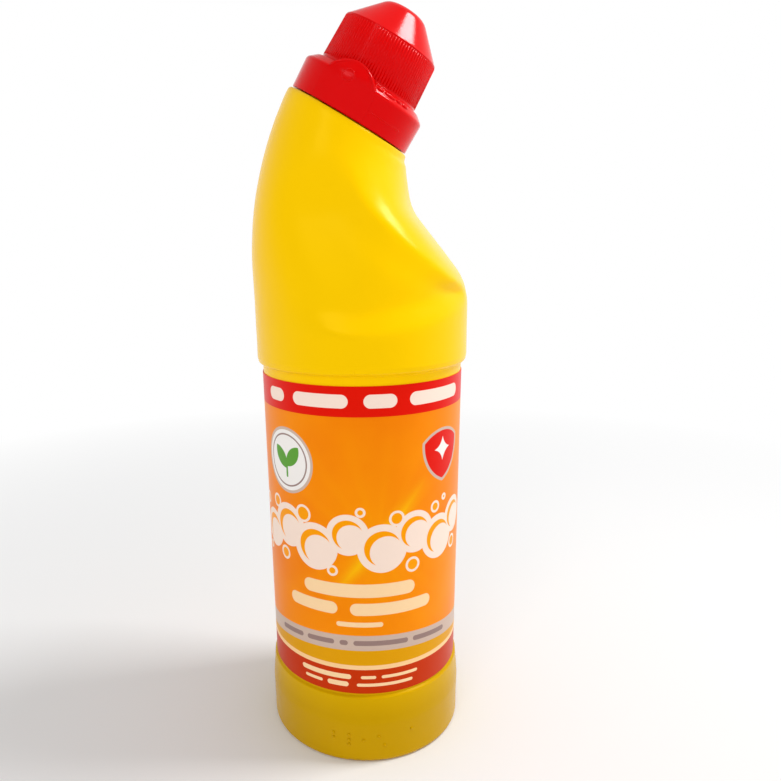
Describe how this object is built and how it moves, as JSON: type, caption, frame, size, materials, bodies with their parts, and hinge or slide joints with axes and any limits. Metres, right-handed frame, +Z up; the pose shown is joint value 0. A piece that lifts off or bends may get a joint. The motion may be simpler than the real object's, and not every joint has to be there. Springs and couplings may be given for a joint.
{
  "type": "bleach bottle",
  "caption": "Tall plastic bottle with a leaning neck, side grips, wrap label, pouring nozzle and a squeeze-and-turn screw cap.",
  "frame": {"origin": "middle of the bottle's standing ring, on the surface it stands on", "axes": "+Z up, +X towards the side that the neck leans to, XZ is the plane of symmetry"},
  "size_m": [0.0769, 0.0764, 0.2609],
  "materials": {
    "yellow_plastic": "satin gloss, blown",
    "label_film": "printed film",
    "white_plastic": "matte, moulded",
    "seal_foam": "matte",
    "red_plastic": "gloss, moulded"
  },
  "bodies": {
    "bottle_body": {"bottle": "yellow_plastic", "wrap_label": "label_film", "nozzle": "white_plastic"},
    "seal_body": {"seal_disc": "seal_foam"},
    "cap_body": {"cap": "red_plastic"}
  },
  "joints": [
    {"name": "cap_lift", "type": "slide", "parent": "bottle_body", "child": "seal_body", "axis": [0.518, 0, 0.8554], "range_m": [0, 0.00601]},
    {"name": "cap_turn", "type": "hinge", "parent": "seal_body", "child": "cap_body", "pos_m": [-0.0033, 0, 0.2249], "axis": [0.518, 0, 0.8554], "range_deg": [0, 540]}
  ],
  "couplings": [
    {"joint": "cap_lift", "follows": "cap_turn", "m_per_rad": 0.00063662}
  ]
}
